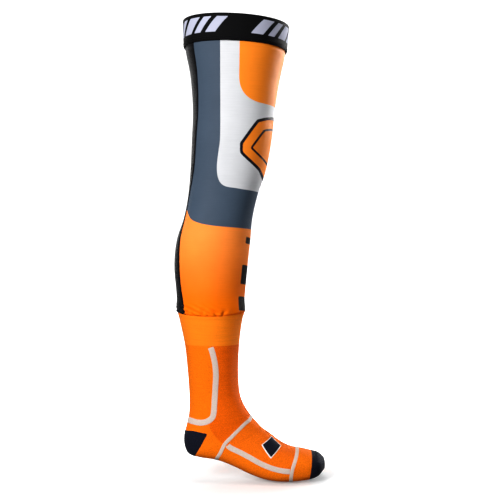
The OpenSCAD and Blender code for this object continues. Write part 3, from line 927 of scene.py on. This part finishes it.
def make_size_label():
    """A blank woven loop inside the back, sewn in at its top under the band."""
    down = np.linspace(0.87, 1.36, 16)
    t = np.concatenate([down, down[::-1]])[:, None]
    phi = np.linspace(171.5, 188.5, 20)[None]
    sag = 0.5 * MM * np.sin(np.linspace(0, np.pi, 16)) ** 2
    d = -0.8 * MM - SLEEVE_WALL - 0.9 * MM - np.concatenate([sag, sag[::-1] + 0.3 * MM])[:, None]
    label = wall("woven_label", t, phi, d, "label", wrap=False, fields={"border": label_border},
                 per_degree=1.6 * MM)
    finish_piece(label, ["size_label"], "thigh")
    return label


# ---------------- the knitted sock
KNIT_DEGREE = 0.8 * MM
CUFF_TOP = 11.03
# Degrees from the toe's last ring to the rings that close its tip
TIP_ANGLES = [14, 28, 42, 56, 70, 80, 86]


def cuff_lip(t, phi):
    """The cuff's top edge flares a little, most at the front."""
    lip = 1 - rise(t, CUFF_TOP, 11.3)
    return lip * (0.7 + 0.8 * np.exp(-((front_angle(phi) / 28) ** 2))) * MM


def make_sock_cuff():
    cuff = tube("ribbed_cuff", stations(CUFF_TOP, CUFF_END, 2.5 * MM), 0.0, -KNIT_WALL, "cuff_knit",
                rims=(5, 0), lift=cuff_lip, per_degree=0.85 * MM)
    finish_piece(cuff, ["sock_cuff"], "shank")


def make_sock_tube(name, start, end, step, nodes, joint):
    fields = {zone: side_depth(outline) for zone, outline in ZONES.items()}
    knit = tube(name, stations(start, end, step), 0.0, -KNIT_WALL, "orange_knit", fields=fields,
                per_degree=KNIT_DEGREE)
    finish_piece(knit, nodes, across=joint)


def toe_rings(ts, inset):
    """Rings of the toe's outside or inside, the last of which close over the rounded tip."""
    rings = [surface(ts[:, None], AROUND, -inset)]
    last = rings[0][-1]
    centre = last.mean(0)
    for a in np.radians(TIP_ANGLES):
        ring = centre + (last - centre) * np.cos(a) + np.array([3.2 * MM, 0, 0]) * np.sin(a)
        rings.append(ring[None])
    return np.concatenate(rings)


def make_toe():
    """The toe cap: an outside and an inside, joined by a rim at the toe line and closed at the tip."""
    ts = stations(TOE_TOP, TIP, 1.8 * MM)
    outside, within = toe_rings(ts, 0.0), toe_rings(ts, KNIT_WALL)
    rows, cols = outside.shape[:2]
    half = rows * cols
    r, c = grid_faces(rows, cols, False, True)
    index = r * cols + c % cols
    faces = index.tolist() + (index[:, ::-1] + half).tolist()
    row_t = np.concatenate([ts, TIP + np.arange(1, len(TIP_ANGLES) + 1) * 0.05])
    turn = np.arange(cols + 1) * 2.0 - 180
    uv = np.stack([turn[c] * KNIT_DEGREE, down_at(row_t)[r]], -1)
    rim = [[j, half + j, half + (j + 1) % cols, (j + 1) % cols] for j in range(cols)]
    tip = (rows - 1) * cols + np.arange(cols)
    tips = [tip.tolist(), (half + tip)[::-1].tolist()]
    uv = np.concatenate([uv.reshape(-1, 2), uv[:, ::-1].reshape(-1, 2), np.zeros((6 * cols, 2))])
    points = np.concatenate([outside, within]).reshape(-1, 3)
    toe = add_piece("toe_knit", points, faces + rim + tips, uv, {}, "navy_knit")
    finish_piece(toe, ["sock_toe"], "toes")


def laid_on(name, t, phi, face, back, material, **more):
    """A thin layer laid on the knit, with its face and its back given as offsets from the leg's surface."""
    t, phi = np.broadcast_arrays(t, phi)
    d = np.concatenate([face, np.full(face.shape, back)])
    rows = [np.concatenate([x, x[::-1]]) for x in (t, phi)]
    fields = {"inside": lambda t, phi, grid: np.zeros(t.shape), **more.pop("fields", {})}
    return wall(name, *rows, d, material, wrap=False, fields=fields, **more)


# Stations of the heel's front edge and its half-angle there: a wedge under the ankle bone
HEEL_EDGE = np.array([
    [17.5, 38], [17.62, 50], [17.78, 60], [18, 70], [18.11, 72.5], [18.3, 71.5], [18.78, 65.5], [19.38, 58],
    [19.96, 47.5], [20.47, 28], [20.78, 4]])


def make_heel():
    top, foot = HEEL_EDGE[0, 0], HEEL_EDGE[-1, 0]
    t = np.unique(np.concatenate([stations(top, foot, 1.3 * MM), np.linspace(top, 18.3, 24)]))[:, None]
    share = np.concatenate([[-1, -0.985], np.linspace(-0.95, 0.95, 60), [0.985, 1]])[None]
    phi = 180 + np.interp(t, *HEEL_EDGE.T) * share
    edge = np.where(np.abs(share) >= 1, -0.5, np.where(np.abs(share) > 0.98, 0.2, 0.35)) * MM
    ends = np.minimum(rise(t, top, top + 0.06), 1 - rise(t, foot - 0.06, foot))
    face = -0.5 * MM + (edge + 0.5 * MM) * ends
    heel = laid_on("heel_knit", t, phi, face, -0.9 * MM, "navy_knit", per_degree=KNIT_DEGREE)
    finish_piece(heel, ["sock_heel"], across=ANKLE)


# Routes of the light stripes, as stations and angles
LEG_LINE = [[12.91, 91], [13.2, 87], [13.65, 82.5], [14.1, 81.5], [14.6, 84.5], [15.1, 88], [15.6, 91.5],
            [16.15, 95]]
HOOK = [[16.5, 98.5], [16.72, 104], [16.86, 111], [16.9, 120], [16.84, 130], [16.75, 142], [16.68, 158],
        [16.66, 180]]
SIDE_LINE = [[20.5, 90], [21.2, 95], [22, 98.5], [22.8, 99.8], [23.6, 99.8], [24.4, 98.8], [25.2, 97.6],
             [25.9, 96.6], [26.28, 96]]
INSTEP_LINE = [[17.45, 0], [17.67, 15], [17.93, 29], [18.26, 43.5], [18.93, 60.5], [19.56, 74.5],
               [20.14, 89], [20.79, 103], [21.36, 119], [21.82, 141], [22.06, 164], [22.1, 180.5]]
THIN, WIDE, WIDEST = 6.8 * MM, 10 * MM, 10.8 * MM


def make_stripe(name, route, width, nodes, joint, step=2 * MM):
    piece = strip(name, route, width, "stripe_knit", step=step)
    finish_piece(piece, nodes, across=joint)


def make_stripes():
    """Down beside the ankle and hooked over the heel, over the instep, round the toes and along the foot."""
    outer = LEG_LINE + HOOK
    inner = [[t, 360 - a] for t, a in reversed(outer)]
    make_stripe("leg_line", outer + inner[1:], WIDEST,
                ["leg_outer_stripe", "leg_inner_stripe", "ankle_stripe"], ANKLE)
    instep = [[t, -a] for t, a in reversed(INSTEP_LINE[1:])] + INSTEP_LINE
    make_stripe("instep_line", instep, THIN, ["instep_stripe"], ANKLE, step=1.6 * MM)
    toes = [[26.32 + 0.45 * rise(abs(a), 70, 180), a] for a in range(-176, 181, 4)]
    make_stripe("toe_line", toes, THIN, ["toe_stripe"], BALL, step=1.6 * MM)
    for word, side in (("outer", 1), ("inner", -1)):
        make_stripe(f"foot_{word}_line", [[t, side * a] for t, a in SIDE_LINE], WIDE,
                    [f"foot_{word}_stripe", f"ball_{word}_stripe"], BALL)


# Corners of the instep's patch, as stations and angles
PATCH = np.array([[[22.75, 58], [22.85, 12]], [[24.3, 76], [24.5, 22]]])


def make_patch():
    """A plain lozenge patch on the instep, with a light border."""
    a, b = np.linspace(-1, 1, 41)[:, None], np.linspace(-1, 1, 41)[None]
    u, v = (a + 1) / 2, (b + 1) / 2
    t, phi = ((PATCH[0, 0, k] * (1 - v) + PATCH[0, 1, k] * v) * (1 - u)
              + (PATCH[1, 0, k] * (1 - v) + PATCH[1, 1, k] * v) * u for k in (0, 1))
    border = 1 - np.maximum(np.abs(a), np.abs(b))
    depth = np.concatenate([border, border[::-1]])
    face = np.where(border <= 0, -0.4, np.where(border < 0.06, 0.3, 0.5)) * MM
    patch = laid_on("badge_patch", t, phi, face, -0.8 * MM, "badge", per_degree=0.7 * MM,
                    fields={"core": lambda t, phi, grid: (depth - 0.13) * 17 * MM})
    finish_piece(patch, ["foot_badge"], "foot")


def make_toe_linking():
    """A corded seam over the toes, from side to side."""
    path, _ = along([[28.62, a] for a in range(-100, 101, 5)], 0.9 * MM)
    cord = surface(path[:, 0], path[:, 1], 0.25 * MM + 0.18 * MM * np.sin(np.arange(len(path)) * 1.9))
    sew("toe_linking", [thread([cord], 0.55 * MM, 8)], "navy_knit", ["toe_seam"], "toes")


def make_cushion(name, node, start, end, half, body):
    """A terry cushion inside the sock, with a face of loops."""
    ts, cols = stations(start, end, 2.5 * MM), 48
    angles = np.linspace(180 - half, 180 + half, cols)[None]
    t = np.concatenate([ts, ts[::-1]])[:, None]
    fall = [np.sin(np.linspace(0, np.pi, n)) ** 0.35 for n in (len(ts), cols)]
    soft = fall[0][:, None] * fall[1][None]
    loops = random.uniform(-0.25, 0.25, (len(ts), cols))
    inner = -KNIT_WALL - 0.25 * MM - (1.7 + loops) * MM * np.clip(soft, 0.1, 1)
    outer = np.full(inner.shape, -KNIT_WALL - 0.15 * MM)
    pad = wall(name, t, angles, np.concatenate([outer, inner[::-1]]), "terry", wrap=False,
               per_degree=KNIT_DEGREE)
    finish_piece(pad, [node], body)


# ---------------- all the pieces
band = make_band()
for number in (1, 2, 3):
    make_grip(number)
make_cover_stitch()
make_band_join()
front = make_panel(
    "front_panel", lambda t: back_half(t) - 180, lambda t: 180 - back_half(t), 190, "print_front",
    {**{name: side_depth(outline) for name, outline in PRINT.items()}, "bars": bars},
    [*thigh_to_calf("front_panel"), "sleeve_hem"])
back = make_panel(
    "back_panel", lambda t: 180 - back_half(t), lambda t: 180 + back_half(t), 76, "back_stretch", {},
    thigh_to_calf("back_panel"))
make_seam("outer", 1)
make_seam("inner", -1)
make_hem_overlock()
label = make_size_label()
make_sock_cuff()
make_sock_tube("leg_knit", CUFF_END, FOREFOOT, 2.2 * MM,
               ["sock_leg", "sock_ankle", "sock_instep", "sock_arch"], ANKLE)
make_sock_tube("forefoot_knit", FOREFOOT, TOE_TOP, 2 * MM, ["sock_ball", "toe_band"], BALL)
make_toe()
make_heel()
make_stripes()
make_patch()
make_toe_linking()
make_cushion("achilles_terry", "achilles_cushion", 13.3, 15.0, 35, "shank")
make_cushion("heel_terry", "heel_cushion", 18, 20.3, 38, "foot")
make_cushion("sole_terry", "sole_cushion", 20.8, 24.4, 50, "foot")
make_cushion("toe_terry", "toe_cushion", 27, 28.9, 60, "toes")


# ---------------- room, light and camera
def make_floor():
    """A floor that glows with painted light, dim near the object and brightening to white away from it."""
    low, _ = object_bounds()
    bpy.ops.mesh.primitive_plane_add(size=30, location=(0, 0, low.z - 0.0004))
    floor = bpy.context.object
    floor.name = "floor"
    m = Cloth("floor", roughness=0.9, sheen=0.0, specular=0.1)
    m.colour(linear(244, 244, 244))
    length = m.new("ShaderNodeVectorMath", operation="LENGTH")
    m.put(m.new("ShaderNodeTexCoord").outputs["Object"], length.inputs[0])
    m.shader.inputs["Emission Color"].default_value = (1, 1, 1, 1)
    # painted light: the floor's glow grows from 0.1 near the object to 1 at 0.42 m away
    glow = m.ramp(length.outputs["Value"], 0.1, 0.42, 0.1, 1.0)
    m.put(glow, m.shader.inputs["Emission Strength"])
    floor.data.materials.append(m.material)
    floor.visible_diffuse = floor.visible_glossy = False
    return floor


def make_backdrop():
    """A white dome that only the camera sees."""
    bpy.ops.mesh.primitive_uv_sphere_add(segments=48, ring_count=24, radius=14.5)
    dome = bpy.context.object
    dome.name = "backdrop"
    m = Cloth("backdrop", roughness=1.0, sheen=0.0, specular=0.0)
    m.colour((0, 0, 0, 1))
    m.shader.inputs["Emission Color"].default_value = (1, 1, 1, 1)
    m.shader.inputs["Emission Strength"].default_value = 1.0
    dome.data.materials.append(m.material)
    for ray in ("diffuse", "glossy", "transmission", "shadow"):
        setattr(dome, f"visible_{ray}", False)
    return dome


def make_world(strength):
    world = bpy.data.worlds.new("studio")
    world.use_nodes = True
    colour, level = world.node_tree.nodes["Background"].inputs[:2]
    colour.default_value = (1, 1, 1, 1)
    level.default_value = strength
    bpy.context.scene.world = world


def lamp(name, place, aim, size, energy, spread):
    """A soft lamp: its place and aim in metres, size in metres, watts, and the angle it spreads over."""
    light = bpy.data.lights.new(name, "AREA")
    light.shape, light.size, light.size_y = "RECTANGLE", *size
    light.energy, light.spread = energy, math.radians(spread)
    obj = bpy.data.objects.new(name, light)
    obj.location = place
    obj.rotation_euler = (Vector(aim) - Vector(place)).to_track_quat("-Z", "Y").to_euler()
    bpy.context.scene.collection.objects.link(obj)


def make_camera(place, lens):
    """A camera at the height of the middle of the leg, looking along +Y."""
    camera = bpy.data.cameras.new("camera")
    camera.sensor_width = 36
    camera.lens = lens
    camera.clip_end = 100
    view = bpy.data.objects.new("camera", camera)
    view.location = place
    view.rotation_euler = (math.radians(90), 0, 0)
    bpy.context.scene.collection.objects.link(view)
    bpy.context.scene.camera = view


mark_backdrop(make_floor(), make_backdrop())
make_world(0.07)
lamp("key", (-1.15, -1.9, 0.2), (0, 0, -0.4), (0.9, 1.4), 50, 180)
lamp("back", (-1.0, 1.7, 0.1), (0, 0, -0.4), (1.0, 1.4), 12, 180)
lamp("rim", (1.0, 0.8, 0.25), (0.04, 0, -0.06), (0.6, 0.6), 2.6, 55)
lamp("low_rim", (1.0, 0.8, -0.7), (0, 0, -0.78), (0.15, 0.15), 0.3, 26)
lamp("fill", (1.1, -1.6, -0.5), (0.05, 0, -0.68), (0.6, 0.6), 0.5, 60)
lamp("overhead", (-0.1, -0.15, 1.6), (0, 0, -0.8), (0.8, 0.8), 13, 180)
make_camera((0.0252, -1.566, -0.405), 62.6)
bpy.context.scene.view_settings.view_transform = "Standard"
bpy.context.scene.view_settings.look = "High Contrast"
